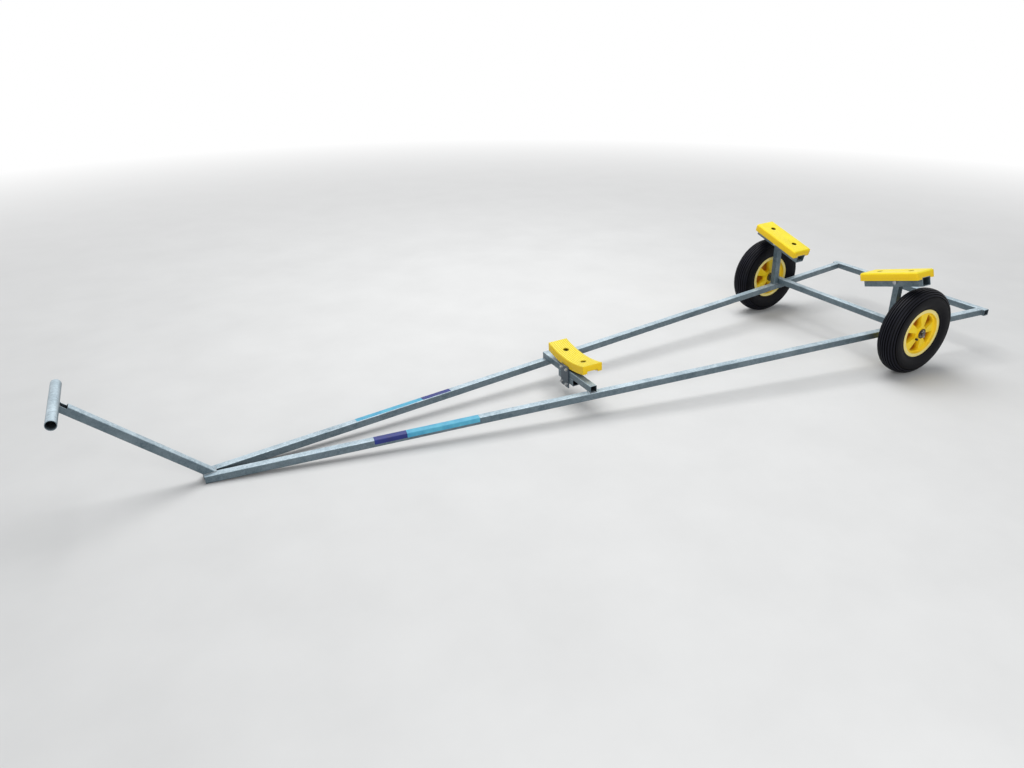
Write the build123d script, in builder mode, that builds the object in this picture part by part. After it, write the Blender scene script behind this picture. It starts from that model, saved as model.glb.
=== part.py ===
"""Dinghy trolley: a galvanised square-tube frame on two pneumatic wheels.

Millimetres.  World frame: +X towards the handle, +Y towards the left wheel, +Z up, floor at
Z = 0.  The trolley stands parked, on its two wheels and on the nose of its frame, so the flat
frame is tipped forward.  Frame pieces are drawn in the frame's own coordinates (its rails lie
on local Z = 0, the axle is above local X = 0) and are put on planes of the parked frame.
"""

import os
from math import acos, asin, atan2, cos, degrees, hypot, radians, sin, tan

from build123d import *

os.makedirs("parts", exist_ok=True)

# Frame tube
tube = 30.0
wall = 2.0
tube_corner = 3.0
inner_corner = 1.5
weld_gap = 1.0

# Lengths along the frame, from the axle
nose_x = 3025.0
bow_x = 1538.0
rear_x = -512.0

# Rails, crossbars and axle
wheel_clearance = 33.3
crossbar_overhang = 12.0
tyre_radius = 200.0
track = 940.0
axle_radius = 10.0
running_gap = 0.1
stub_root = 60.0
collar_radius = 16.0
collar_width = 5.0
washer_radius = 17.0
washer_width = 3.0
stub_tip = 6.0
side_play = 0.3

# Drawbar and handle
drawbar_angle = 45.0
drawbar_length = 537.0
mouth_length = 20.0
mouth_depth = 8.0
handle_radius = 16.85
handle_length = 316.0

# Wheel
hub_half = 40.0
hub_radius = 24.0
bush_wall = 3.0
bead_radius = 101.0
flange_radius = 112.0
flange_half = 38.0
rim_wall = 5.0
spoke_face_inner = 34.0
spoke_face_outer = 24.0
web_half = 2.5
window_count = 5
window_turn = 11.0
window_angle = 40.0
window_inner = 32.0
window_outer = 88.0
window_corner = 6.0
tyre_half = 49.0
side_radius = 150.0
tread_half = 28.0
valve_radius = 4.0
valve_cap_radius = 5.0
valve_cap = 9.0
valve_root = 14.0
valve_length = 28.0
valve_circle = 34.0
valve_turn = 47.0

# Side supports: post, rocking carrier and pad
pivot_rise = 12.0
post_head = 15.0
carrier_width = 50.0
carrier_height = 40.0
carrier_wall = 2.5
carrier_length = 300.0
carrier_shift = 15.0
rest_tilt = 16.5
slot_length = 62.0
slot_width = 41.0
slot_shift = 12.0
slot_corner = 4.0
pivot_radius = 5.0
bolt_head_radius = 8.5
bolt_head_height = 6.0
spacer_radius = 9.0
pad_length = 300.0
pad_width = 108.0
pad_height = 36.0
pad_recess = 8.0
pad_wall = 4.0
pad_chamfer = 6.0
pad_corner = 8.0
pad_ribs = 7
rib_wall = 3.0
screw_spacing = 160.0
screw_radius = 4.0
screw_bore = 12.5
screw_depth = 18.0
screw_head_radius = 7.5
screw_head_height = 5.0
pad_screw_length = 24.0
chock_screw_length = 24.0

# Bow support: bolster, clamp, post and curved chock
bolster_inset = 6.0
block_length = 120.0
plate_thickness = 5.0
plate_width = 60.0
plate_over = 7.0
plate_under = 12.0
u_rod_radius = 4.0
nut_radius = 7.0
nut_height = 6.5
seat_gap = 0.3
bow_post_drop = 22.0
saddle_clear = 7.2
saddle_thickness = 5.0
saddle_width = 50.0
saddle_margin = 24.0
chock_radius = 535.0
chock_length = 290.0
chock_width = 90.0
chock_height = 35.0
chock_screw_spacing = 142.0
chock_recess = 10.0
chock_ribs = 9

# The beam's ends keep clear of the tyres, which sets the angle between the rails
beam_end = track / 2 - tyre_half - wheel_clearance
spread = beam_end - weld_gap / 2
toe = acos(tube / hypot(spread, nose_x)) - atan2(nose_x, spread)
outer_rail = tube / 2 / cos(toe)

# Drawbar and handle in the frame's own coordinates
rise = radians(drawbar_angle)
foot_x = nose_x - tube / 2 / sin(rise)
handle_x = foot_x + drawbar_length * cos(rise)
handle_z = tube + drawbar_length * sin(rise)

# Pose of the parked frame: the wheels' axle at tyre_radius, the nose on the floor, and the
# whole trolley's middle, from the rear crossbar's corner to the handle's front, on X = 0
axle_local = tube + tube / 2
reach = hypot(axle_local, nose_x)
slope = asin(tyre_radius / reach) - atan2(axle_local, nose_x)
corner_x = rear_x - tube + tube_corner
front = handle_x * cos(slope) + handle_z * sin(slope) + handle_radius
back = corner_x * cos(slope) + tube_corner * sin(slope) - tube_corner
shift = -(front + back) / 2
parked = Location((shift, 0, nose_x * sin(slope)), (0, degrees(slope), 0))
axle_x = shift + axle_local * sin(slope)


def placed(where, plane):
    """A plane carried along by a location."""
    return Plane(where * plane.location)


def on_frame(x, y, z, x_dir, z_dir):
    """A plane of the parked frame, from the frame's own coordinates."""
    return placed(parked, Plane(origin=(x, y, z), x_dir=x_dir, z_dir=z_dir))


def rail_y(x):
    """Distance of a rail's middle from the frame's middle line."""
    return weld_gap / 2 + outer_rail + (nose_x - x) * tan(toe)


def tube_section(width, height, thickness):
    """Hollow tube profile, drawn in the sketch that is open."""
    RectangleRounded(width, height, tube_corner)
    inner = (width - 2 * thickness, height - 2 * thickness)
    RectangleRounded(*inner, inner_corner, mode=Mode.SUBTRACT)


def keep(piece, name):
    """Label a finished piece and write it."""
    piece.part.label = name
    export_step(piece.part, f"parts/{name}.step")


sides = (("left", 1), ("right", -1))

# Rails: one straight tube each, from the nose to the rear crossbar
nose_cut = on_frame(nose_x, 0, 0, (0, 1, 0), (1, 0, 0))
rear_cut = on_frame(rear_x, 0, 0, (0, 1, 0), (1, 0, 0))
for side, sign in sides:
    along = (cos(toe), -sign * sin(toe), 0)
    start = rear_x - tube
    with BuildPart() as rail:
        rear_end = on_frame(start, sign * rail_y(start), tube / 2, (0, 0, 1), along)
        with BuildSketch(rear_end):
            tube_section(tube, tube, wall)
        extrude(amount=(nose_x - start) / cos(toe) + tube)
        split(bisect_by=nose_cut, keep=Keep.BOTTOM)
        split(bisect_by=rear_cut, keep=Keep.TOP)
    keep(rail, f"rail_{side}")

# Crosswise tubes: name, middle along the frame, height of the underside, half length
cross_tubes = (
    ("rear_crossbar", rear_x - tube / 2, 0, rail_y(rear_x) + outer_rail + crossbar_overhang),
    ("axle_beam", 0, tube, beam_end),
    ("bow_bolster", bow_x, tube, rail_y(bow_x) + outer_rail - bolster_inset),
    ("clamp_block", bow_x, 0, block_length / 2),
)
for name, x, z, half_length in cross_tubes:
    with BuildPart() as cross_tube:
        with BuildSketch(on_frame(x, 0, z + tube / 2, (1, 0, 0), (0, 1, 0))):
            tube_section(tube, tube, wall)
        extrude(amount=half_length, both=True)
    keep(cross_tube, name)

# Drawbar: stands on the nose of both rails and rises to the handle, with an open mouth there
bar_dir = (cos(rise), 0, sin(rise))
bar_up = (-sin(rise), 0, cos(rise))
handle_plane = on_frame(handle_x, 0, handle_z, (1, 0, 0), (0, 1, 0))
with BuildPart() as drawbar:
    with BuildSketch(on_frame(foot_x, 0, tube, bar_up, bar_dir)):
        tube_section(tube, tube, wall)
    extrude(amount=drawbar_length)
    with BuildSketch(on_frame(foot_x, 0, tube, bar_up, bar_dir)):
        tube_section(tube, tube, wall)
    extrude(amount=-tube)
    split(bisect_by=on_frame(0, 0, tube, (1, 0, 0), (0, 0, 1)), keep=Keep.TOP)
    with BuildSketch(handle_plane):
        Circle(handle_radius)
    extrude(amount=tube, both=True, mode=Mode.SUBTRACT)
    mouth_start = handle_radius + mouth_length
    mouth_x = handle_x - mouth_start * cos(rise) - tube / 2 * sin(rise)
    mouth_z = handle_z - mouth_start * sin(rise) + tube / 2 * cos(rise)
    with BuildSketch(on_frame(mouth_x, 0, mouth_z, bar_dir, bar_up)):
        with Locations((mouth_start, 0)):
            Rectangle(2 * mouth_start, tube)
    extrude(amount=-mouth_depth, mode=Mode.SUBTRACT)
keep(drawbar, "drawbar")

with BuildPart() as handle_tube:
    with BuildSketch(handle_plane):
        Circle(handle_radius)
        Circle(handle_radius - wall, mode=Mode.SUBTRACT)
    extrude(amount=handle_length / 2, both=True)
keep(handle_tube, "handle_tube")

# Axle stubs: a round bar held in the beam's end, with a welded stop collar for the hub
hub_inner = track / 2 - hub_half
hub_outer = track / 2 + hub_half
stub_end = hub_outer + 2 * side_play + washer_width + stub_tip
for side, sign in sides:
    outward = (0, sign, 0)
    with BuildPart() as stub:
        with BuildSketch(on_frame(0, sign * (beam_end - stub_root), axle_local, (1, 0, 0), outward)):
            Circle(axle_radius)
        extrude(amount=stub_end - beam_end + stub_root)
        collar_y = hub_inner - side_play - collar_width
        with BuildSketch(on_frame(0, sign * collar_y, axle_local, (1, 0, 0), outward)):
            Circle(collar_radius)
        extrude(amount=collar_width)
        with BuildSketch(on_frame(0, sign * beam_end, axle_local, (1, 0, 0), outward)):
            Rectangle(tube, tube)
        extrude(amount=wall)
    keep(stub, f"axle_stub_{side}")

    with BuildPart() as washer:
        washer_y = hub_outer + side_play
        with BuildSketch(on_frame(0, sign * washer_y, axle_local, (1, 0, 0), outward)):
            Circle(washer_radius)
            Circle(axle_radius + running_gap, mode=Mode.SUBTRACT)
        extrude(amount=washer_width)
    keep(washer, f"hub_washer_{side}")

# Wheels: moulded rim with wedge pockets in both faces, steel bush, tyre and valve
bush_radius = axle_radius + running_gap + bush_wall
barrel_inner = bead_radius - rim_wall
bead_half = flange_half - rim_wall
side_slope = (tyre_half - bead_half) / (side_radius - bead_radius)
lip_half = bead_half + (flange_radius - bead_radius) * side_slope
with BuildSketch() as window:
    with BuildLine():
        inner_arc = CenterArc((0, 0), window_inner, -window_angle / 2, window_angle)
        outer_arc = CenterArc((0, 0), window_outer, -window_angle / 2, window_angle)
        Line(inner_arc @ 0, outer_arc @ 0)
        Line(inner_arc @ 1, outer_arc @ 1)
    make_face()
    fillet(window.vertices(), window_corner)
for side, sign in sides:
    hub = (axle_x, sign * track / 2, tyre_radius)
    hub_plane = Plane(origin=hub, x_dir=(1, 0, 0), z_dir=(0, sign, 0))
    half_plane = Plane(origin=hub, x_dir=(1, 0, 0), z_dir=(0, 0, 1))
    hub_axis = Axis(hub, (0, 1, 0))

    with BuildPart() as rim:
        with BuildSketch(half_plane):
            with BuildLine():
                Polyline(
                    (bush_radius, 0),
                    (bush_radius, hub_half),
                    (hub_radius, hub_half),
                    (hub_radius, spoke_face_inner),
                    (barrel_inner, spoke_face_outer),
                    (barrel_inner, flange_half),
                    (flange_radius, flange_half),
                    (flange_radius, lip_half),
                    (bead_radius, bead_half),
                    (bead_radius, 0),
                    close=True,
                )
            make_face()
            mirror(about=Plane.XZ)
        revolve(axis=hub_axis)
        with BuildSketch(hub_plane):
            with PolarLocations(0, window_count, start_angle=sign * window_turn):
                add(window.sketch)
        with BuildSketch(hub_plane, mode=Mode.PRIVATE) as web_disc:
            Circle(bead_radius)
        windows = extrude(amount=hub_half, both=True, mode=Mode.PRIVATE)
        web = extrude(web_disc.sketch, amount=web_half, both=True, mode=Mode.PRIVATE)
        add(windows - web, mode=Mode.SUBTRACT)
        with BuildSketch(hub_plane.offset(valve_root)):
            with PolarLocations(valve_circle, 1, start_angle=sign * valve_turn):
                Circle(valve_radius)
        extrude(amount=hub_half, mode=Mode.SUBTRACT)
    keep(rim, f"rim_{side}")

    with BuildPart() as bush:
        with BuildSketch(hub_plane):
            Circle(bush_radius)
            Circle(axle_radius + running_gap, mode=Mode.SUBTRACT)
        extrude(amount=hub_half, both=True)
    keep(bush, f"hub_bush_{side}")

    with BuildPart() as tyre:
        with BuildSketch(half_plane):
            with BuildLine():
                Polyline(
                    (bead_radius, 0),
                    (bead_radius, bead_half),
                    (side_radius, tyre_half),
                    (tyre_radius, tread_half),
                    (tyre_radius, 0),
                    close=True,
                )
            make_face()
            mirror(about=Plane.XZ)
        revolve(axis=hub_axis)
    keep(tyre, f"tyre_{side}")

    with BuildPart() as valve:
        with BuildSketch(hub_plane.offset(valve_root)):
            with PolarLocations(valve_circle, 1, start_angle=sign * valve_turn):
                Circle(valve_radius)
        extrude(amount=valve_length)
        with BuildSketch(hub_plane.offset(valve_root + valve_length - valve_cap)):
            with PolarLocations(valve_circle, 1, start_angle=sign * valve_turn):
                Circle(valve_cap_radius)
        extrude(amount=valve_cap)
    keep(valve, f"valve_{side}")

# Side supports: a post on each rail, against the axle beam, with a round head in the carrier
post_x = tube
post_y = rail_y(post_x)
pivot_height = axle_local + tyre_radius + pivot_rise
side_gap = (carrier_width - 2 * carrier_wall - tube) / 2
for side, sign in sides:
    pivot = (post_x, sign * post_y, pivot_height)
    across = on_frame(*pivot, (0, 1, 0), (1, 0, 0))
    with BuildPart() as post:
        with BuildSketch(on_frame(post_x, sign * post_y, tube, (1, 0, 0), (0, 0, 1))):
            tube_section(tube, tube, wall)
        extrude(amount=pivot_height + post_head - tube)
        with BuildSketch(across):
            with Locations((0, post_head / 2)):
                Rectangle(tube, post_head)
            Circle(post_head, mode=Mode.SUBTRACT)
            Circle(pivot_radius + running_gap)
        extrude(amount=tube, both=True, mode=Mode.SUBTRACT)
    keep(post, f"post_{side}")

    with BuildPart() as pivot_bolt:
        grip = carrier_width / 2 + side_play
        with BuildSketch(across):
            Circle(pivot_radius)
        extrude(amount=grip, both=True)
        with BuildSketch(across.offset(grip), across.offset(-grip - bolt_head_height)):
            RegularPolygon(bolt_head_radius, 6, major_radius=False)
        extrude(amount=bolt_head_height)
    keep(pivot_bolt, f"pivot_bolt_{side}")

    with BuildPart() as spacers:
        spacer = side_gap - side_play
        with BuildSketch(across.offset(tube / 2), across.offset(-tube / 2 - spacer)):
            Circle(spacer_radius)
            Circle(pivot_radius, mode=Mode.SUBTRACT)
        extrude(amount=spacer)
    keep(spacers, f"pivot_spacers_{side}")

    # Carrier and pad rock about the bolt; at rest the inner end hangs lower
    lean = Location(pivot, (sign * rest_tilt, 0, 0))
    rocking = parked * lean
    centred = rocking * Location((0, -sign * carrier_shift, 0))
    with BuildPart() as carrier:
        with BuildSketch(placed(centred, Plane.XZ)):
            tube_section(carrier_width, carrier_height, carrier_wall)
        extrude(amount=carrier_length / 2, both=True)
        with BuildSketch(placed(rocking, Plane.XY.offset(-carrier_height / 2))):
            with Locations((0, -sign * slot_shift)):
                RectangleRounded(slot_width, slot_length, slot_corner)
        extrude(amount=2 * carrier_wall, both=True, mode=Mode.SUBTRACT)
        with BuildSketch(placed(rocking, Plane.YZ)):
            Circle(pivot_radius + running_gap)
        extrude(amount=carrier_width, both=True, mode=Mode.SUBTRACT)
        with BuildSketch(placed(centred, Plane.XY.offset(carrier_height / 2))):
            with GridLocations(0, screw_spacing, 1, 2):
                Circle(screw_radius)
        extrude(amount=2 * carrier_wall, both=True, mode=Mode.SUBTRACT)
    keep(carrier, f"carrier_{side}")

    pad_plane = placed(centred, Plane.XY.offset(carrier_height / 2 - pad_recess))
    pad_up = Axis(pad_plane.origin, pad_plane.z_dir)
    rib_pitch = (pad_length - 2 * pad_wall + rib_wall) / (pad_ribs + 1)
    with BuildPart() as pad:
        with BuildSketch(pad_plane):
            RectangleRounded(pad_width, pad_length, pad_corner)
        extrude(amount=pad_height)
        chamfer(pad.faces().sort_by(pad_up)[-1].edges(), pad_chamfer)
        with BuildSketch(pad_plane):
            with GridLocations(0, rib_pitch, 1, pad_ribs + 1):
                Rectangle(pad_width - 2 * pad_wall, rib_pitch - rib_wall)
        extrude(amount=pad_height - pad_wall, mode=Mode.SUBTRACT)
        with BuildSketch(pad_plane):
            Rectangle(carrier_width + 2 * seat_gap, pad_length)
        extrude(amount=pad_recess, mode=Mode.SUBTRACT)
        with BuildSketch(pad_plane.offset(pad_recess)):
            with GridLocations(0, screw_spacing, 1, 2):
                Circle(screw_bore + pad_wall)
        extrude(amount=pad_height - pad_recess - pad_chamfer)
        with BuildSketch(pad_plane.offset(pad_height)):
            with GridLocations(0, screw_spacing, 1, 2):
                Circle(screw_bore)
        extrude(amount=-screw_depth, mode=Mode.SUBTRACT)
        with BuildSketch(pad_plane):
            with GridLocations(0, screw_spacing, 1, 2):
                Circle(screw_radius)
        extrude(amount=pad_height, mode=Mode.SUBTRACT)
    keep(pad, f"pad_{side}")

    with BuildPart() as pad_screws:
        with BuildSketch(pad_plane.offset(pad_height - screw_depth)):
            with GridLocations(0, screw_spacing, 1, 2):
                RegularPolygon(screw_head_radius, 6)
        extrude(amount=screw_head_height)
        with BuildSketch(pad_plane.offset(pad_height - screw_depth)):
            with GridLocations(0, screw_spacing, 1, 2):
                Circle(screw_radius)
        extrude(amount=-pad_screw_length)
    keep(pad_screws, f"pad_screws_{side}")

# Bow support: a post behind the bolster and the block under it, held by a plate and two U-bolts
chock_x = bow_x - tube
saddle_z = 2 * tube + seat_gap + 2 * u_rod_radius + saddle_clear
with BuildPart() as bow_post:
    with BuildSketch(on_frame(chock_x, 0, -bow_post_drop, (1, 0, 0), (0, 0, 1))):
        tube_section(tube, tube, wall)
    extrude(amount=saddle_z + bow_post_drop)
keep(bow_post, "bow_post")

rod_y = tube / 2 + seat_gap + u_rod_radius
rod_heights = (2 * tube + seat_gap + u_rod_radius, -seat_gap - u_rod_radius)
plate_top = rod_heights[0] + u_rod_radius + plate_over
plate_foot = rod_heights[1] - u_rod_radius - plate_under
plate_x = bow_x + tube / 2
with BuildPart() as clamp_plate:
    with BuildSketch(on_frame(plate_x, 0, 0, (0, 1, 0), (1, 0, 0))):
        with Locations((0, (plate_top + plate_foot) / 2)):
            Rectangle(plate_width, plate_top - plate_foot)
        with Locations((0, sum(rod_heights) / 2)):
            with GridLocations(2 * rod_y, rod_heights[0] - rod_heights[1], 2, 2):
                Circle(u_rod_radius, mode=Mode.SUBTRACT)
    extrude(amount=plate_thickness)
keep(clamp_plate, "clamp_plate")

back_x = chock_x - tube / 2 - seat_gap - u_rod_radius
nut_x = plate_x + plate_thickness
u_bend = tube_corner + u_rod_radius
with BuildPart() as u_bolts:
    for z in rod_heights:
        tip_x = nut_x + nut_height + u_rod_radius
        with BuildLine(on_frame(0, 0, z, (1, 0, 0), (0, 0, 1))) as bend:
            FilletPolyline(
                (tip_x, -rod_y), (back_x, -rod_y), (back_x, rod_y), (tip_x, rod_y), radius=u_bend
            )
        with BuildSketch(on_frame(tip_x, -rod_y, z, (0, 1, 0), (-1, 0, 0))):
            Circle(u_rod_radius)
        sweep(path=bend.line)
        with BuildSketch(on_frame(nut_x, 0, z, (0, 1, 0), (1, 0, 0))):
            with GridLocations(2 * rod_y, 0, 2, 1):
                RegularPolygon(nut_radius, 6)
        extrude(amount=nut_height)
keep(u_bolts, "u_bolts")

# Saddle plate and moulded chock share one centre of curvature, above the frame
seat_radius = chock_radius + chock_height - chock_recess
curve_z = saddle_z + saddle_thickness + seat_radius
curve_plane = on_frame(chock_x, 0, curve_z, (0, 1, 0), (1, 0, 0))


def curved_slab(inner, outer, half_angle, turn=0.0):
    """Part of a ring below the centre of curvature, as a sketch of its own."""
    with BuildSketch() as slab:
        with BuildLine():
            top_arc = CenterArc((0, 0), inner, turn - 90 - half_angle, 2 * half_angle)
            low_arc = CenterArc((0, 0), outer, turn - 90 - half_angle, 2 * half_angle)
            Line(top_arc @ 0, low_arc @ 0)
            Line(top_arc @ 1, low_arc @ 1)
        make_face()
    return slab.sketch


def chock_plane(radius, turn):
    """Plane on the curve at a given radius, its normal towards the centre of curvature."""
    a = radians(turn)
    y = radius * sin(a)
    z = curve_z - radius * cos(a)
    return on_frame(chock_x, y, z, (1, 0, 0), (0, -sin(a), cos(a)))


screw_turn = degrees(asin(chock_screw_spacing / 2 / chock_radius))
half_saddle = screw_turn + degrees(saddle_margin / seat_radius)
with BuildPart() as saddle:
    with BuildSketch(curve_plane):
        add(curved_slab(seat_radius, seat_radius + saddle_thickness, half_saddle))
    extrude(amount=saddle_width / 2, both=True)
    for turn in (-screw_turn, screw_turn):
        with BuildSketch(chock_plane(seat_radius, turn)):
            Circle(screw_radius)
        extrude(amount=saddle_width / 4, both=True, mode=Mode.SUBTRACT)
keep(saddle, "chock_saddle")

# The chock's ends are upright; its pockets are open below, and a recess takes the saddle
chock_under = chock_radius + chock_height
full_turn = degrees(asin(chock_length / 2 / chock_radius))
rib_turn = degrees(rib_wall / chock_under)
pocket_pitch = 2 * full_turn / (chock_ribs + 1)
half_pocket = (pocket_pitch - rib_turn) / 2
with BuildPart() as chock:
    with BuildSketch(curve_plane):
        add(curved_slab(chock_radius, chock_under, full_turn))
        with Locations((0, -chock_under)):
            Rectangle(chock_length, chock_under, mode=Mode.INTERSECT)
    extrude(amount=chock_width / 2, both=True)
    with BuildSketch(curve_plane):
        for k in range(chock_ribs + 1):
            turn = (k - chock_ribs / 2) * pocket_pitch
            add(curved_slab(chock_radius + pad_wall, chock_under + pad_wall, half_pocket, turn))
        with Locations((0, -chock_under)):
            Rectangle(chock_length - 2 * pad_wall, chock_under, mode=Mode.INTERSECT)
    extrude(amount=chock_width / 2 - pad_wall, both=True, mode=Mode.SUBTRACT)
    with BuildSketch(curve_plane):
        add(curved_slab(seat_radius, chock_under + pad_wall, full_turn))
    extrude(amount=saddle_width / 2 + seat_gap, both=True, mode=Mode.SUBTRACT)
    for turn in (-screw_turn, screw_turn):
        with BuildSketch(chock_plane(seat_radius - seat_gap, turn)):
            Circle(screw_bore + pad_wall)
        extrude(amount=seat_radius - seat_gap - chock_radius - pad_wall / 2)
        with BuildSketch(chock_plane(chock_radius - seat_gap, turn)):
            Circle(screw_bore)
        extrude(amount=-screw_depth - seat_gap, mode=Mode.SUBTRACT)
        with BuildSketch(chock_plane(chock_radius - seat_gap, turn)):
            Circle(screw_radius)
        extrude(amount=-chock_height, mode=Mode.SUBTRACT)
keep(chock, "bow_chock")

with BuildPart() as chock_screws:
    for turn in (-screw_turn, screw_turn):
        with BuildSketch(chock_plane(chock_radius + screw_depth, turn)):
            RegularPolygon(screw_head_radius, 6)
        extrude(amount=screw_head_height)
        with BuildSketch(chock_plane(chock_radius + screw_depth, turn)):
            Circle(screw_radius)
        extrude(amount=-chock_screw_length)
keep(chock_screws, "chock_screws")
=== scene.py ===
"""Looks of the dinghy trolley: its finishes, tyres, moulded parts, weld beads and colour bands."""

from math import acos, asin, atan2, cos, hypot, pi, radians, sin, sqrt, tan

import bmesh
import bpy
from mathutils import Matrix, Vector


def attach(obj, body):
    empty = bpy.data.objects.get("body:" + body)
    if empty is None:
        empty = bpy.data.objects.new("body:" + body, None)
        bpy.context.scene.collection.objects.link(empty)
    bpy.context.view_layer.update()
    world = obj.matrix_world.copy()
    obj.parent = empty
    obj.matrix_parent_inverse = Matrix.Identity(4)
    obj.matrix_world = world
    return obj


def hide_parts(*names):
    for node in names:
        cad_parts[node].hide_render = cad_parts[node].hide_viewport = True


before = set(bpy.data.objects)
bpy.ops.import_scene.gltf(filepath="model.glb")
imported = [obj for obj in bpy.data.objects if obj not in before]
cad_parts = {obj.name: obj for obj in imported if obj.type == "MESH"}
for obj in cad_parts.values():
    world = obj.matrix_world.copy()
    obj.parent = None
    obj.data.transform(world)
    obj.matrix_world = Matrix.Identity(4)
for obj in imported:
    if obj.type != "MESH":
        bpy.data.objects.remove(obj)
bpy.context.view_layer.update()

# Places on the frame, in metres: along it from the axle, across it and above its underside
tube = 0.030
half_tube = tube / 2
tube_corner = 0.003
nose_x = 3.025
bow_x = 1.538
rear_x = -0.512
post_x = tube
bolster_inset = 0.006
beam_end = 0.3877
stub_end = 0.5196
axle_height = 1.5 * tube
tyre_radius = 0.200
wheel_y = 0.470

# The drawbar rises from the nose to the middle of the handle tube
drawbar_rise = pi / 4
drawbar_length = 0.537
foot_x = nose_x - half_tube / sin(drawbar_rise)
handle_x = foot_x + drawbar_length * cos(drawbar_rise)
handle_z = tube + drawbar_length * sin(drawbar_rise)
handle_radius = 0.01685

# The chock stands on its saddle, behind the bolster, and its top is part of a circle
chock_x = bow_x - tube
saddle_z = 0.0755
saddle_thickness = 0.005
chock_radius = 0.535
chock_height = 0.035
chock_half_length = 0.145
chock_recess = 0.010
chock_centre_z = saddle_z + saddle_thickness - chock_recess + chock_height + chock_radius
chock_screw_spacing = 0.142
screw_bore = 0.0125

# The frame is tipped forward onto its nose, and its rails spread from the nose to the beam
slope = asin(tyre_radius / hypot(axle_height, nose_x)) - atan2(axle_height, nose_x)
front = handle_x * cos(slope) + handle_z * sin(slope) + handle_radius
corner_x = rear_x - tube + tube_corner
back = corner_x * cos(slope) + tube_corner * sin(slope) - tube_corner
shift = -(front + back) / 2
tip = Matrix.Rotation(slope, 4, "Y")
parked = Matrix.Translation((shift, 0.0, nose_x * sin(slope))) @ tip
axle_x = (parked @ Vector((0, 0, axle_height))).x
rail_gap = 0.0005
toe = acos(tube / hypot(beam_end - rail_gap, nose_x)) - atan2(nose_x, beam_end - rail_gap)

sides = (("left", 1), ("right", -1))


def on_frame(x, y, z):
    """A place on the parked frame."""
    return parked @ Vector((x, y, z))


def rail_y(x):
    """Distance of a rail's middle from the frame's middle line."""
    return rail_gap + half_tube / cos(toe) + (nose_x - x) * tan(toe)


# Finishes


def paint(red, green, blue):
    """A colour given in 0 to 255 as it looks, turned into the value a shader takes."""
    shades = []
    for value in (red, green, blue):
        value /= 255
        shades.append(value / 12.92 if value <= 0.04045 else ((value + 0.055) / 1.055) ** 2.4)
    return (*shades, 1.0)


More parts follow.
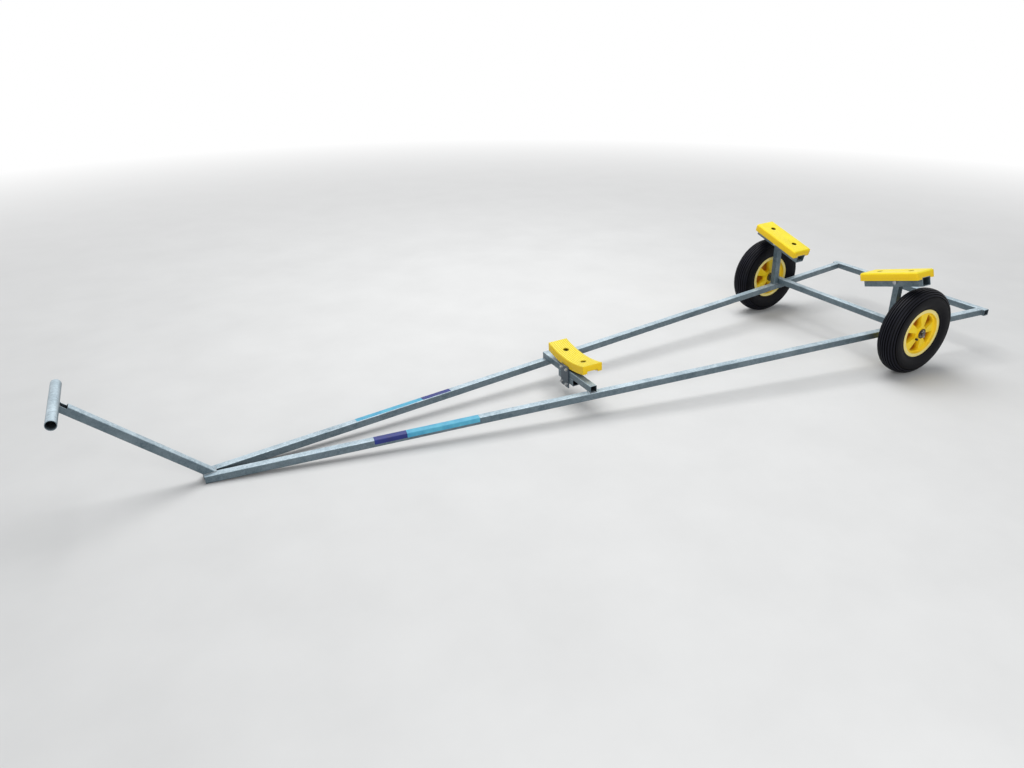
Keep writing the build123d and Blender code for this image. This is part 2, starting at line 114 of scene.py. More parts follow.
class Finish:
    """A surface finish made of nodes on the piece's own coordinates."""

    def __init__(self, name, roughness, metallic=0.0):
        self.material = bpy.data.materials.new(name)
        self.material.use_nodes = True
        self.nodes = self.material.node_tree.nodes
        self.links = self.material.node_tree.links
        self.shader = self.nodes["Principled BSDF"]
        self.shader.inputs["Metallic"].default_value = metallic
        self.shader.inputs["Roughness"].default_value = roughness
        ways = self.nodes.new("ShaderNodeTexCoord").outputs
        self.place = ways["Object"]
        self.facing = ways["Normal"]

    def put(self, value, socket):
        """Join a socket to another, or write a number or colour on it."""
        if isinstance(value, bpy.types.NodeSocket):
            self.links.new(value, socket)
        else:
            socket.default_value = value

    def stretched(self, scale):
        """The piece's coordinates, stretched along the axes."""
        node = self.nodes.new("ShaderNodeMapping")
        node.inputs["Scale"].default_value = scale
        self.put(self.place, node.inputs["Vector"])
        return node.outputs["Vector"]

    def noise(self, scale, detail=4.0, roughness=0.55, place=None):
        """Cloudy noise, from 0 to 1."""
        node = self.nodes.new("ShaderNodeTexNoise")
        node.inputs["Scale"].default_value = scale
        node.inputs["Detail"].default_value = detail
        node.inputs["Roughness"].default_value = roughness
        self.put(place or self.place, node.inputs["Vector"])
        return node.outputs["Fac"]

    def crystals(self, scale):
        """A random grey for each grain of a crystal pattern."""
        node = self.nodes.new("ShaderNodeTexVoronoi")
        node.inputs["Scale"].default_value = scale
        self.put(self.place, node.inputs["Vector"])
        return node.outputs["Color"]

    def ramp(self, value, stops):
        """A value turned into the colours of a list of (position, colour) stops."""
        node = self.nodes.new("ShaderNodeValToRGB")
        elements = node.color_ramp.elements
        for element, (position, colour) in zip(elements, stops):
            element.position = position
            element.color = colour
        self.put(value, node.inputs["Fac"])
        return node.outputs["Color"]

    def blend(self, share, one, other):
        """A mix of two colours."""
        node = self.nodes.new("ShaderNodeMix")
        node.data_type = "RGBA"
        self.put(share, node.inputs[0])
        self.put(one, node.inputs[6])
        self.put(other, node.inputs[7])
        return node.outputs[2]

    def reckon(self, operation, one, other=0.0, third=0.0):
        """Arithmetic on values."""
        node = self.nodes.new("ShaderNodeMath")
        node.operation = operation
        for value, socket in zip((one, other, third), node.inputs):
            self.put(value, socket)
        return node.outputs[0]

    def total(self, first, *others):
        """The sum of values, each given with its weight."""
        result = self.reckon("MULTIPLY", *first)
        for value, weight in others:
            result = self.reckon("MULTIPLY_ADD", value, weight, result)
        return result

    def between(self, value, low, high, first=0.0, last=1.0):
        """A value spread from one range over another, held at its ends."""
        node = self.nodes.new("ShaderNodeMapRange")
        for socket, number in zip(node.inputs, (value, low, high, first, last)):
            self.put(number, socket)
        return node.outputs[0]

    def parts(self, vector):
        """The X, Y and Z of a place or direction."""
        node = self.nodes.new("ShaderNodeSeparateXYZ")
        self.put(vector, node.inputs[0])
        return node.outputs

    def axle_radius(self):
        """Distance from the wheels' axle line."""
        place = self.parts(self.place)
        along = self.reckon("SUBTRACT", place["X"], axle_x)
        height = self.reckon("SUBTRACT", place["Z"], tyre_radius)
        square = self.reckon("MULTIPLY", height, height)
        return self.reckon("SQRT", self.reckon("MULTIPLY_ADD", along, along, square))

    def wheel_depth(self):
        """Distance from the wheel's middle plane."""
        across = self.reckon("ABSOLUTE", self.parts(self.place)["Y"])
        return self.reckon("ABSOLUTE", self.reckon("SUBTRACT", across, wheel_y))

    def frame_lines(self, pitch):
        """Lines across the frame at a pitch, from -1 between them to 1 on them."""
        place = self.parts(self.place)
        level = parked.inverted()
        along = self.reckon("MULTIPLY_ADD", place["X"], level[0][0], level[0][3] - chock_x)
        along = self.reckon("MULTIPLY_ADD", place["Z"], level[0][2], along)
        return self.reckon("COSINE", self.reckon("MULTIPLY", along, 2 * pi / pitch))

    def openness(self, distance):
        """How far a place is open to its surroundings, from 0 in a deep hole to 1."""
        node = self.nodes.new("ShaderNodeAmbientOcclusion")
        node.samples = 8
        node.inputs["Distance"].default_value = distance
        return node.outputs["AO"]

    def upward(self):
        """How far the surface faces up, from -1 to 1."""
        return self.parts(self.facing)["Z"]

    def shine(self, level):
        """Set how much light the surface reflects."""
        self.shader.inputs["Specular IOR Level"].default_value = level

    def colour(self, value):
        """Colour the surface."""
        self.put(value, self.shader.inputs["Base Color"])

    def roughness(self, value):
        """Roughen the surface."""
        self.put(value, self.shader.inputs["Roughness"])

    def relief(self, height, distance, strength):
        """Raise the surface's grain by a height."""
        node = self.nodes.new("ShaderNodeBump")
        node.inputs["Strength"].default_value = strength
        node.inputs["Distance"].default_value = distance
        self.put(height, node.inputs["Height"])
        self.put(node.outputs["Normal"], self.shader.inputs["Normal"])


def galvanised_finish(name, dark, light, spangle):
    """Hot-dip zinc: dull crystals, cloudy patches, faint runs, painted shade on sides and in
    hollows.
    """
    zinc = Finish(name, 0.42, 0.3)
    grain = zinc.crystals(spangle)
    cloud = zinc.noise(9.0, 5.0, 0.62)
    runs = zinc.noise(38.0, 3.0, 0.5, zinc.stretched((0.35, 1.0, 1.0)))
    specks = zinc.noise(230.0, 3.0, 0.65)
    mottle = zinc.total((cloud, 0.66), (grain, 0.17), (runs, 0.24), (specks, 0.5))
    body = zinc.ramp(mottle, ((0.56, dark), (0.96, light)))
    # Faces that turn away from the sky take a dark teal: painted shade.
    painted_side_shade = zinc.blend(0.72, body, paint(34, 56, 66))
    body = zinc.blend(zinc.between(zinc.upward(), 0.1, 0.8), painted_side_shade, body)
    # Tube mouths, holes and tight corners go near-black: painted shade.
    painted_hollow_shade = zinc.between(zinc.openness(0.05), 0.16, 0.52, 0.96, 0.0)
    zinc.colour(zinc.blend(painted_hollow_shade, body, paint(8, 9, 12)))
    zinc.roughness(zinc.between(mottle, 0.35, 1.0, 0.5, 0.34))
    fine = zinc.noise(900.0, 2.0)
    zinc.relief(zinc.reckon("MULTIPLY_ADD", grain, 0.25, fine), 0.00012, 0.5)
    return zinc.material


def steel_finish(name, dark, light):
    """Plated steel with stains and fine turned marks."""
    steel = Finish(name, 0.3, 0.92)
    stain = steel.noise(60.0, 5.0, 0.6)
    steel.colour(steel.ramp(stain, ((0.3, dark), (0.7, light))))
    steel.roughness(steel.between(stain, 0.3, 0.8, 0.45, 0.24))
    marks = steel.noise(700.0, 2.0, 0.5, steel.stretched((1.0, 0.15, 1.0)))
    steel.relief(marks, 0.00008, 0.4)
    return steel.material


def moulded_yellow(name, pitch, shade):
    """Yellow polyethylene: fine grip lines, light scuffs, a little dust; painted shade and
    highlights.
    """
    yellow = Finish(name, 0.42)
    yellow.shine(0.3)
    tone = yellow.noise(14.0, 4.0, 0.6)
    body = yellow.ramp(tone, ((0.3, paint(234, 212, 18)), (0.75, paint(244, 226, 30))))
    # Faces that turn away from the sky take a deeper orange-yellow: painted shade.
    yellow_side_shade = yellow.between(yellow.upward(), 0.2, 0.75, 0.75, 0.0)
    body = yellow.blend(yellow_side_shade, body, paint(250, 200, 6))
    scuffs = yellow.noise(160.0, 6.0, 0.7, yellow.stretched((1.0, 0.25, 1.0)))
    pale = yellow.between(scuffs, 0.62, 0.74, 0.0, 0.4)
    body = yellow.blend(pale, body, paint(250, 236, 128))
    dust = yellow.noise(36.0, 6.0, 0.68)
    grime = yellow.between(dust, 0.62, 0.8, 0.0, 0.35)
    body = yellow.blend(grime, body, paint(176, 140, 36))
    # On upward faces, darker yellow between the grip lines is painted shade and pale yellow on them
    # is painted highlight.
    lines = yellow.frame_lines(pitch)
    top = yellow.between(yellow.upward(), 0.75, 0.9)
    painted_dip_shade = yellow.reckon("MULTIPLY", top, yellow.between(lines, -0.3, -0.9, 0.0, shade))
    body = yellow.blend(painted_dip_shade, body, paint(196, 164, 10))
    painted_crest_highlight = yellow.reckon("MULTIPLY", top, yellow.between(lines, 0.1, 0.9, 0.0, shade))
    body = yellow.blend(painted_crest_highlight, body, paint(252, 250, 150))
    pits = yellow.between(yellow.noise(520.0, 2.0, 0.5), 0.64, 0.7, 0.0, 0.45)
    body = yellow.blend(pits, body, paint(150, 122, 16))
    # Screw holes and tight gaps go near-black: painted shade.
    painted_hollow_shade = yellow.between(yellow.openness(0.026), 0.34, 0.7, 0.97, 0.0)
    yellow.colour(yellow.blend(painted_hollow_shade, body, paint(26, 20, 6)))
    yellow.roughness(yellow.between(scuffs, 0.3, 0.75, 0.36, 0.58))
    grain = yellow.noise(1400.0, 3.0)
    yellow.relief(yellow.reckon("MULTIPLY_ADD", lines, 0.8, grain), 0.0003, 0.5)
    return yellow.material


def moulded_rim():
    """Amber nylon: painted shade deep in the pockets, a worn pale flange and road film."""
    amber = Finish("moulded_rim", 0.4)
    amber.shine(0.35)
    tone = amber.noise(30.0, 4.0, 0.6)
    face = amber.ramp(tone, ((0.3, paint(255, 214, 20)), (0.75, paint(255, 226, 46))))
    # Deeper towards the wheel's middle plane the face turns orange-brown: painted shade in the
    # pockets.
    deep = amber.between(amber.wheel_depth(), 0.003, 0.021, 1.0, 0.0)
    face = amber.blend(deep, face, paint(166, 96, 4))
    edge = amber.between(amber.axle_radius(), 0.0955, 0.0995)
    worn_edge = amber.reckon("MULTIPLY", edge, amber.between(tone, 0.25, 0.6, 0.7, 1.0))
    face = amber.blend(worn_edge, face, paint(252, 234, 150))
    film = amber.between(amber.noise(75.0, 6.0, 0.7), 0.58, 0.8, 0.0, 0.4)
    amber.colour(amber.blend(film, face, paint(152, 118, 58)))
    amber.roughness(amber.between(tone, 0.3, 0.8, 0.34, 0.55))
    amber.relief(amber.noise(1100.0, 3.0), 0.00014, 0.4)
    return amber.material


def tyre_rubber():
    """Black rubber, greyed on the tread by dust and a painted sheen, with painted shade in its
    grooves.
    """
    rubber = Finish("tyre_rubber", 0.56)
    rubber.shine(0.13)
    patch = rubber.noise(18.0, 6.0, 0.66)
    body = rubber.ramp(patch, ((0.3, paint(5, 5, 9)), (0.8, paint(14, 14, 20))))
    # The tread's outer part is greyed blue: dust, and a painted sheen on the rib tops.
    tread = rubber.between(rubber.axle_radius(), 0.1680, 0.1780)
    tread_dust_and_sheen = rubber.reckon("MULTIPLY", tread, rubber.between(patch, 0.35, 0.7, 0.3, 0.75))
    body = rubber.blend(tread_dust_and_sheen, body, paint(32, 33, 43))
    # The grooves go near-black: painted shade.
    ribs = rubber.between(rubber.openness(0.006), 0.6, 0.98)
    rubber.colour(rubber.blend(ribs, paint(1, 1, 2), body))
    rubber.roughness(rubber.between(patch, 0.3, 0.8, 0.44, 0.66))
    rubber.relief(rubber.noise(650.0, 4.0, 0.6), 0.0003, 0.5)
    return rubber.material


def soft_black():
    """Matt black rubber of the valve and the hub's seal."""
    black = Finish("soft_black", 0.6)
    patch = black.noise(240.0, 4.0)
    black.colour(black.ramp(patch, ((0.3, paint(24, 23, 22)), (0.8, paint(46, 44, 42)))))
    black.relief(patch, 0.0001, 0.4)
    return black.material


def vinyl(name, dark, light):
    """Blank coloured film with faint creases and worn specks."""
    film = Finish(name, 0.34)
    tone = film.noise(22.0, 4.0, 0.6)
    body = film.ramp(tone, ((0.3, dark), (0.75, light)))
    specks = film.between(film.noise(420.0, 3.0, 0.6), 0.7, 0.76, 0.0, 0.55)
    film.colour(film.blend(specks, body, paint(168, 176, 180)))
    film.roughness(film.between(tone, 0.3, 0.8, 0.42, 0.58))
    film.relief(film.noise(55.0, 3.0), 0.0004, 0.25)
    return film.material


tube_spangle = 105.0
weld_spangle = 240.0
chock_pitch = 0.0095
pad_pitch = 0.0068

zinc = galvanised_finish(
    "galvanised_tube", paint(122, 143, 155), paint(198, 215, 224), tube_spangle
)
# A darker copy of the tube zinc for the bow post and clamp plate: painted shade.
shaded_zinc = galvanised_finish(
    "shaded_zinc", paint(88, 92, 104), paint(132, 138, 150), tube_spangle
)
rough_zinc = galvanised_finish(
    "galvanised_weld", paint(128, 136, 142), paint(186, 194, 199), weld_spangle
)
plated = steel_finish("plated_steel", paint(146, 148, 150), paint(206, 209, 211))
worn = steel_finish("worn_steel", paint(78, 72, 64), paint(136, 132, 126))
# Near-black steel for the screws deep in their holes: painted shade.
shaded_screw_steel = steel_finish("shaded_steel", paint(34, 31, 28), paint(66, 62, 58))
chock_yellow = moulded_yellow("ridged_yellow", chock_pitch, 0.6)
yellow = moulded_yellow("moulded_yellow", pad_pitch, 0.25)
amber = moulded_rim()
rubber = tyre_rubber()
black = soft_black()
navy = vinyl("navy_band", paint(6, 22, 96), paint(12, 38, 128))
sky = vinyl("sky_band", paint(50, 146, 186), paint(92, 182, 206))


# Making pieces

merge_distance = 1e-6
hard_edge = radians(40)
soft_edge = radians(35)
flat_enough = radians(0.6)


def cleaned(mesh):
    """Merge doubled points and turn the faces outward."""
    work = bmesh.new()
    work.from_mesh(mesh)
    bmesh.ops.remove_doubles(work, verts=work.verts, dist=merge_distance)
    bmesh.ops.recalc_face_normals(work, faces=work.faces)
    work.to_mesh(mesh)
    work.free()


def show(name, mesh, body, replaces=None):
    """Put a finished mesh on a body, and hide the node it stands for."""
    mesh.name = name
    piece = bpy.data.objects.new(name, mesh)
    bpy.context.scene.collection.objects.link(piece)
    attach(piece, body)
    if replaces:
        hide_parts(replaces)


def solid_mesh(points, faces, finish):
    """A closed mesh from points and faces, smooth but for its sharp edges."""
    mesh = bpy.data.meshes.new("solid")
    mesh.from_pydata([tuple(point) for point in points], [], faces)
    cleaned(mesh)
    mesh.materials.append(finish)
    mesh.shade_smooth()
    mesh.set_sharp_from_angle(angle=hard_edge)
    return mesh


def turned(profile, centre, finish, steps):
    """A ring turned about a wheel's axle from a closed profile of (radius, offset) pairs."""
    count = len(profile)
    points = []
    faces = []
    for step in range(steps):
        angle = 2 * pi * step / steps
        for radius, offset in profile:
            points.append(centre + Vector((radius * cos(angle), offset, radius * sin(angle))))
        here = step * count
        after = (step + 1) % steps * count
        for k in range(count):
            near = (k + 1) % count
            faces.append((here + k, here + near, after + near, after + k))
    return solid_mesh(points, faces, finish)


def held(mesh):
    """A passing object that holds a mesh while a modifier works on it."""
    holder = bpy.data.objects.new("holder", mesh)
    bpy.context.scene.collection.objects.link(holder)
    return holder


def let_go(holder):
    """The smooth mesh that the holder's modifier makes, once the holder is gone."""
    graph = bpy.context.evaluated_depsgraph_get()
    mesh = bpy.data.meshes.new_from_object(holder.evaluated_get(graph))
    bpy.data.objects.remove(holder)
    mesh.shade_smooth()
    return mesh


def softened(node, width, finish):
    """A copy of a CAD node with its sharp edges slightly rounded."""
    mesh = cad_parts[node].data.copy()
    mesh.materials.clear()
    mesh.materials.append(finish)
    cleaned(mesh)
    work = bmesh.new()
    work.from_mesh(mesh)
    bmesh.ops.dissolve_limit(
        work, angle_limit=flat_enough, verts=work.verts, edges=work.edges
    )
    for face in work.faces:
        face.material_index = 0
    work.to_mesh(mesh)
    work.free()
    holder = held(mesh)
    bevel = holder.modifiers.new("edge", "BEVEL")
    bevel.width = width
    bevel.segments = 2
    bevel.limit_method = "ANGLE"
    bevel.angle_limit = soft_edge
    bevel.use_clamp_overlap = True
    mesh = let_go(holder)
    mesh.set_sharp_from_angle(angle=soft_edge)
    return mesh


def shape_tree(name, sizes):
    """A new geometry node tree with named inputs: the tree, its start and its last step but one."""
    tree = bpy.data.node_groups.new(name, "GeometryNodeTree")
    face = tree.interface
    face.new_socket("Geometry", in_out="OUTPUT", socket_type="NodeSocketGeometry")
    face.new_socket("Path", in_out="INPUT", socket_type="NodeSocketGeometry")
    for label in sizes:
        face.new_socket(label, in_out="INPUT", socket_type="NodeSocketFloat")
    face.new_socket("Finish", in_out="INPUT", socket_type="NodeSocketMaterial")
    start = tree.nodes.new("NodeGroupInput")
    end = tree.nodes.new("NodeGroupOutput")
    realize = tree.nodes.new("GeometryNodeRealizeInstances")
    cover = tree.nodes.new("GeometryNodeSetMaterial")
    tree.links.new(realize.outputs[0], cover.inputs["Geometry"])
    tree.links.new(start.outputs["Finish"], cover.inputs["Material"])
    tree.links.new(cover.outputs[0], end.inputs[0])
    return tree, start, realize


def weld_bead_tree():
    """Overlapping flattened drops along a path, like the ripples of a weld."""
    tree, start, realize = shape_tree("weld_bead", ("Bead radius", "Pitch"))
    join = tree.links.new
    curve = tree.nodes.new("GeometryNodeMeshToCurve")
    join(start.outputs["Path"], curve.inputs[0])
    steps = tree.nodes.new("GeometryNodeResampleCurve")
    steps.mode = "LENGTH"
    join(curve.outputs[0], steps.inputs["Curve"])
    join(start.outputs["Pitch"], steps.inputs["Length"])
    drop = tree.nodes.new("GeometryNodeMeshUVSphere")
    drop.inputs["Segments"].default_value = 8
    drop.inputs["Rings"].default_value = 6
    join(start.outputs["Bead radius"], drop.inputs["Radius"])
    heading = tree.nodes.new("GeometryNodeInputTangent")
    turn = tree.nodes.new("FunctionNodeAlignRotationToVector")
    turn.axis = "X"
    join(heading.outputs[0], turn.inputs["Vector"])
    size = tree.nodes.new("FunctionNodeRandomValue")
    size.data_type = "FLOAT_VECTOR"
    size.inputs["Min"].default_value = (0.62, 0.86, 0.86)
    size.inputs["Max"].default_value = (0.74, 1.1, 1.1)
    size.inputs["Seed"].default_value = 7
    place = tree.nodes.new("GeometryNodeInstanceOnPoints")
    join(steps.outputs[0], place.inputs["Points"])
    join(drop.outputs["Mesh"], place.inputs["Instance"])
    join(turn.outputs[0], place.inputs["Rotation"])
    join(size.outputs["Value"], place.inputs["Scale"])
    join(place.outputs[0], realize.inputs[0])
    return tree


def round_rod_tree():
    """A round rod along a path, with closed ends."""
    tree, start, realize = shape_tree("round_rod", ("Rod radius", "Step"))
    join = tree.links.new
    curve = tree.nodes.new("GeometryNodeMeshToCurve")
    join(start.outputs["Path"], curve.inputs[0])
    flow = tree.nodes.new("GeometryNodeCurveSplineType")
    flow.spline_type = "CATMULL_ROM"
    join(curve.outputs[0], flow.inputs["Curve"])
    steps = tree.nodes.new("GeometryNodeResampleCurve")
    steps.mode = "LENGTH"
    join(flow.outputs[0], steps.inputs["Curve"])
    join(start.outputs["Step"], steps.inputs["Length"])
    ring = tree.nodes.new("GeometryNodeCurvePrimitiveCircle")
    ring.inputs["Resolution"].default_value = 8
    join(start.outputs["Rod radius"], ring.inputs["Radius"])
    rod = tree.nodes.new("GeometryNodeCurveToMesh")
    rod.inputs["Fill Caps"].default_value = True
    join(steps.outputs[0], rod.inputs["Curve"])
    join(ring.outputs[0], rod.inputs["Profile Curve"])
    join(rod.outputs[0], realize.inputs[0])
    return tree


def grown(tree, paths, sizes, finish):
    """The mesh that a tree grows along paths, with sizes and a finish for its named inputs."""
    points = []
    edges = []
    for path in paths:
        first = len(points)
        points.extend(tuple(point) for point in path)
        edges.extend((first + k, first + k + 1) for k in range(len(path) - 1))
    mesh = bpy.data.meshes.new("paths")
    mesh.from_pydata(points, edges, [])
    holder = held(mesh)
    growth = holder.modifiers.new("growth", "NODES")
    growth.node_group = tree
    for socket in tree.interface.items_tree:
        if socket.name in sizes:
            growth[socket.identifier] = sizes[socket.name]
        if socket.name == "Finish":
            growth[socket.identifier] = finish
    return let_go(holder)


# Finishes of the CAD nodes

node_finishes = (
    (zinc, (
        "rail_left", "rail_right", "rear_crossbar", "axle_beam", "bow_bolster", "clamp_block",
        "drawbar", "handle_tube", "post_left", "post_right", "carrier_left", "carrier_right",
        "chock_saddle",
    )),
    # The bow post and clamp plate take the darker zinc copy: painted shade.
    (shaded_zinc, ("bow_post", "clamp_plate")),
    (plated, (
        "hub_bush_left", "hub_bush_right", "pivot_bolt_left", "pivot_bolt_right",
        "pivot_spacers_left", "pivot_spacers_right", "u_bolts",
    )),
    (worn, ("axle_stub_left", "axle_stub_right", "hub_washer_left", "hub_washer_right")),
    # The screws deep in the pad and chock holes take near-black steel: painted shade.
    (shaded_screw_steel, ("pad_screws_left", "pad_screws_right", "chock_screws")),
    (black, ("valve_left", "valve_right")),
)
for finish, names in node_finishes:
    for name in names:
        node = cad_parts[name]
        if not node.material_slots:
            node.data.materials.append(finish)
        for slot in node.material_slots:
            slot.material = finish


# Wheels

# A tyre's section is a circle swelled towards a square: a power of 1 would leave it round
section_radius = 0.0490
section_power = 0.82
section_steps = 180
tyre_steps = 144
groove_pitch = 0.0116
groove_count = 6
groove_half = 0.0028
groove_floor_half = 0.0016
groove_depth = 0.0046
shoulder_arc = 0.0655
shoulder_lip = 0.0008
shoulder_drop = 0.0010
flank_arcs = (0.0735, 0.0700)
rim_edge = 0.0011
seal_steps = 48

# The tyre's side from its bead to its widest place, and the hub's seal, as (radius, offset)
tyre_side = (
    (0.1010, 0.0330), (0.1122, 0.0367), (0.1134, 0.0392), (0.1158, 0.0410),
    (0.1180, 0.0416), (0.1192, 0.0428), (0.1210, 0.0430), (0.1222, 0.0424),
    (0.1260, 0.0438), (0.1320, 0.0460), (0.1390, 0.0479), (0.1450, 0.0488),
    (0.1510, 0.0490),
)
seal_line = (
    (0.0178, 0.0396), (0.0178, 0.0405), (0.0190, 0.0411), (0.0222, 0.0411),
    (0.0232, 0.0405), (0.0232, 0.0396),
)

# The section from the tread's middle to its widest place, as (offset, radius)
section_line = []
for step in range(section_steps + 1):
    turn = radians(90 * step / section_steps)
    off = section_radius * sin(turn) ** section_power
    rise = section_radius * max(cos(turn), 0.0) ** section_power
    section_line.append(Vector((off, tyre_radius - section_radius + rise)))


def section(arc, sunk=0.0):
    """A (radius, offset) place on the section by its distance from the tread's middle."""
    here = 0
    ahead = section_line[1] - section_line[0]
    while arc > ahead.length and here < section_steps - 1:
        arc -= ahead.length
        here += 1
        ahead = section_line[here + 1] - section_line[here]
    ahead.normalize()
    inward = Vector((ahead.y, -ahead.x))
    place = section_line[here] + ahead * arc + inward * sunk
    return place.y, place.x


def tyre_profile():
    """Closed outline of a tyre's section: bead, bulging side, shoulder and grooved tread."""
    half = list(tyre_side)
    half.extend(section(arc) for arc in flank_arcs)
    half.append(section(shoulder_arc + shoulder_lip, shoulder_drop))
    half.append(section(shoulder_arc))
    for number in reversed(range(groove_count)):
        middle = number * groove_pitch
        half.append(section(middle + groove_half))
        half.append(section(middle + groove_floor_half, groove_depth))
        if number:
            half.append(section(middle - groove_floor_half, groove_depth))
            half.append(section(middle - groove_half))
            half.append(section(middle - groove_pitch / 2))
    return half + [(radius, -offset) for radius, offset in reversed(half)]


for side, sign in sides:
    hub = Vector((axle_x, sign * wheel_y, tyre_radius))
    mesh = turned(tyre_profile(), hub, rubber, tyre_steps)
    show(f"grooved_tyre_{side}", mesh, f"wheel_{side}", f"tyre_{side}")
    mesh = softened(f"rim_{side}", rim_edge, amber)
    show(f"moulded_rim_{side}", mesh, f"wheel_{side}", f"rim_{side}")
    for face_name, face in (("outer", 1), ("inner", -1)):
        profile = [(radius, face * offset) for radius, offset in seal_line]
        mesh = turned(profile, hub, black, seal_steps)
        show(f"hub_seal_{face_name}_{side}", mesh, f"wheel_{side}")


# Split pins through the axle's tips

pin_radius = 0.0012
pin_inset = 0.0028
pin_turn = radians(58)
pin_line = (
    (0.0170, 0.0062), (0.0138, 0.0030), (0.0112, 0.0013), (0.0000, 0.0013),
    (-0.0112, 0.0013), (-0.0140, 0.0032), (-0.0172, 0.0034), (-0.0192, 0.0000),
    (-0.0172, -0.0034), (-0.0140, -0.0032), (-0.0112, -0.0013), (0.0000, -0.0013),
    (0.0112, -0.0013), (0.0138, -0.0030), (0.0170, -0.0062),
)
pin_paths = []
for _, sign in sides:
    path = []
    for along, off in pin_line:
        x = axle_x + along * cos(pin_turn) - off * sin(pin_turn)
        z = tyre_radius + along * sin(pin_turn) + off * cos(pin_turn)
        path.append(Vector((x, sign * (stub_end - pin_inset), z)))
    pin_paths.append(path)
rod = round_rod_tree()
mesh = grown(rod, pin_paths, {"Rod radius": pin_radius, "Step": pin_radius}, plated)
show("split_pins", mesh, "frame")


# Pads and bow chock

mould_edge = 0.0012
for side, _ in sides:
    mesh = softened(f"pad_{side}", mould_edge, yellow)
    show(f"moulded_pad_{side}", mesh, f"support_{side}", f"pad_{side}")
mesh = softened("bow_chock", mould_edge, chock_yellow)
show("moulded_chock", mesh, "frame", "bow_chock")

# Fine ridges follow the chock's curve and stop short of its ends and its two screws
ridge_count = 9
ridge_radius = 0.0022
ridge_rise = 0.0012
ridge_step = 0.006
ridge_parts = 16
end_margin = 0.006
bore_margin = 0.002
ridge_end = asin(chock_half_length / chock_radius) - end_margin
bore_clear = screw_bore + bore_margin
hole_turn = asin(chock_screw_spacing / 2 / chock_radius)


def chock_top(across, turn):
    """A place on the chock's top: across its width, and turned along its curve."""
    reach = chock_radius + ridge_radius - ridge_rise
    return on_frame(chock_x + across, reach * sin(turn), chock_centre_z - reach * cos(turn))


ridge_paths = []
for number in range(ridge_count):
    across = (number - (ridge_count - 1) / 2) * chock_pitch
    stops = [-ridge_end, ridge_end]
    if abs(across) < bore_clear:
        gap = sqrt(bore_clear * bore_clear - across * across) / chock_radius
        stops[1:1] = [-hole_turn - gap, -hole_turn + gap, hole_turn - gap, hole_turn + gap]
    for start, end in zip(stops[::2], stops[1::2]):
        turns = [start + (end - start) * k / ridge_parts for k in range(ridge_parts + 1)]
        ridge_paths.append([chock_top(across, turn) for turn in turns])
mesh = grown(rod, ridge_paths, {"Rod radius": ridge_radius, "Step": ridge_step}, chock_yellow)
show("chock_ridges", mesh, "frame")


# Weld beads, through places given on the frame

bead_radius = 0.0027
bead_pitch = 0.0017
bead_lift = 0.0004
half_bead = 0.013
corner = half_tube + bead_lift
weld_paths = []

# Where each cross tube lies on the rails, how far it stops inside them and its welded faces
cross_tubes = ((0.0, 0.0, (-1,)), (bow_x, bolster_inset, (-1, 1)))

# Ends and heights of the beads, most of them a little in or out of the faces that they join
cross_start = 0.014
cross_stop = 0.0015
post_seam_z = 2 * tube - 0.0008
rail_end_x = rear_x + 0.0005
rail_end_lift = 0.0002
rail_end_heights = (0.004, 0.026)
rail_top_z = 0.0288
stub_ring_radius = 0.0110
stub_ring_steps = 24
stub_rings = (beam_end + 0.0028, 0.4240)
block_end = 0.0602
foot_half = 0.0195
foot_back = foot_x - 0.0212
foot_front = foot_x + 0.0210
nose_seam_x = nose_x + 0.0003
nose_heights = (0.004, 0.027)
post_top = saddle_z - 0.0006

# The drawbar's seams on the handle tube: one round it on each side, in degrees, and one below
seam_y = 0.0154
seam_radius = handle_radius + bead_lift
seam_start = 201
seam_sweep = 86
seam_steps = 14
under_depth = 0.0152
under_reach = 0.0077
under_half = 0.0135


def weld(*places):
    """A bead through places given on the frame."""
    weld_paths.append([on_frame(*place) for place in places])


def across_bead(x, y, z):
    """The two ends of a bead that runs across the frame."""
    return (x, y - half_bead, z), (x, y + half_bead, z)


def along_bead(x, y, z, half=half_bead):
    """The two ends of a bead that runs along the frame."""
    return (x - half, y, z), (x + half, y, z)


def round_post(x, y, z):
    """The corners of a bead round three sides of a square post, all but its back."""
    return (
        *along_bead(x, y - corner, z),
        *across_bead(x + corner, y, z),
        *reversed(along_bead(x, y + corner, z)),
    )


for _, sign in sides:
    for x, inset, faces in cross_tubes:
        middle = rail_y(x)
        end = middle + half_tube / cos(toe) - inset + bead_lift
        for face in faces:
            edge = x + face * (half_tube - bead_lift)
            weld(
                (edge, sign * (middle - cross_start), tube),
                (edge, sign * (end - cross_stop), tube),
            )
        weld(*along_bead(x, sign * end, tube))
    post_y = sign * rail_y(post_x)
    weld(*round_post(post_x, post_y, tube))
    weld(*across_bead(half_tube, post_y, post_seam_z))
    rail_end_y = sign * rail_y(rear_x)
    for face in (-1, 1):
        y = rail_end_y + face * (half_tube / cos(toe) + rail_end_lift)
        weld(*((rail_end_x, y, z) for z in rail_end_heights))
    weld(*across_bead(rear_x, rail_end_y, rail_top_z))
    for y in stub_rings:
        turns = [2 * pi * k / stub_ring_steps for k in range(stub_ring_steps + 1)]
        ring = [(stub_ring_radius * cos(turn), stub_ring_radius * sin(turn)) for turn in turns]
        weld(*((x, sign * y, axle_height + z) for x, z in ring))
    weld(*along_bead(bow_x, sign * block_end, tube))
    weld(*along_bead(foot_x, sign * corner, tube, foot_half))

